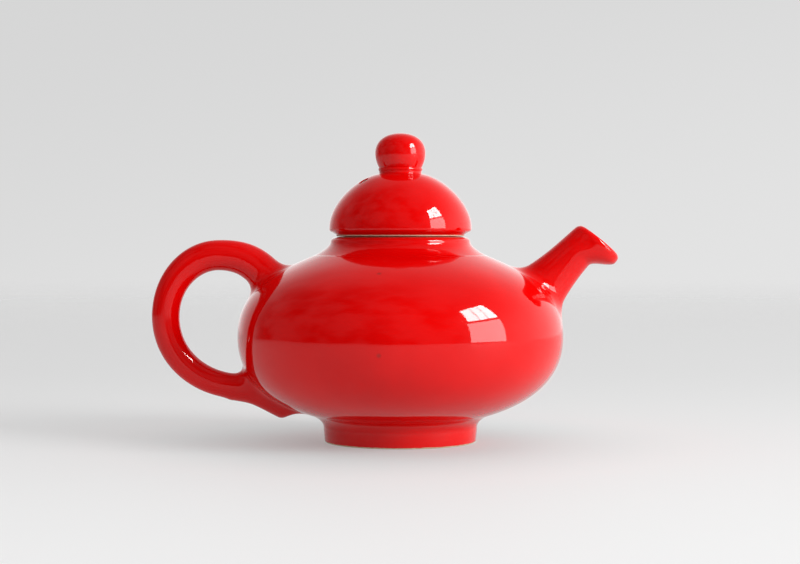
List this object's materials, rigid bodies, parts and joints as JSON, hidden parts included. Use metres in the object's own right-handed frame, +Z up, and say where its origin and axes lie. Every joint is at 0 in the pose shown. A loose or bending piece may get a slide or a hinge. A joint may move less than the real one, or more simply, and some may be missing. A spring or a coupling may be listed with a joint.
{
  "type": "teapot",
  "caption": "Small round glazed ceramic teapot with a domed lift-off lid, ball knob, ear-shaped loop handle, short beaked spout with a strainer behind it, and a foot ring.",
  "frame": {"origin": "on the pot's vertical axis, in the plane that the foot ring stands on", "axes": "+Z up along the pot's axis, +X towards the spout, -X towards the handle"},
  "size_m": [0.1572, 0.11, 0.1043],
  "materials": {
    "red_glaze": "high gloss red glaze",
    "white_glaze": "glossy white liner glaze",
    "bare_clay": "unglazed matte stoneware"
  },
  "bodies": {
    "pot": {"pot_bowl": "red_glaze", "pot_shoulder": "red_glaze", "foot_ring": "red_glaze", "neck_collar": "red_glaze", "spout": "red_glaze", "spout_strainer": "white_glaze", "handle": "red_glaze"},
    "lid": {"lid_dome": "red_glaze", "lid_flange": "bare_clay", "lid_knob": "red_glaze"}
  },
  "joints": [
    {"name": "lid_lift", "type": "slide", "parent": "pot", "child": "lid", "axis": [0, 0, 1], "range_m": [0, 0.05]}
  ]
}
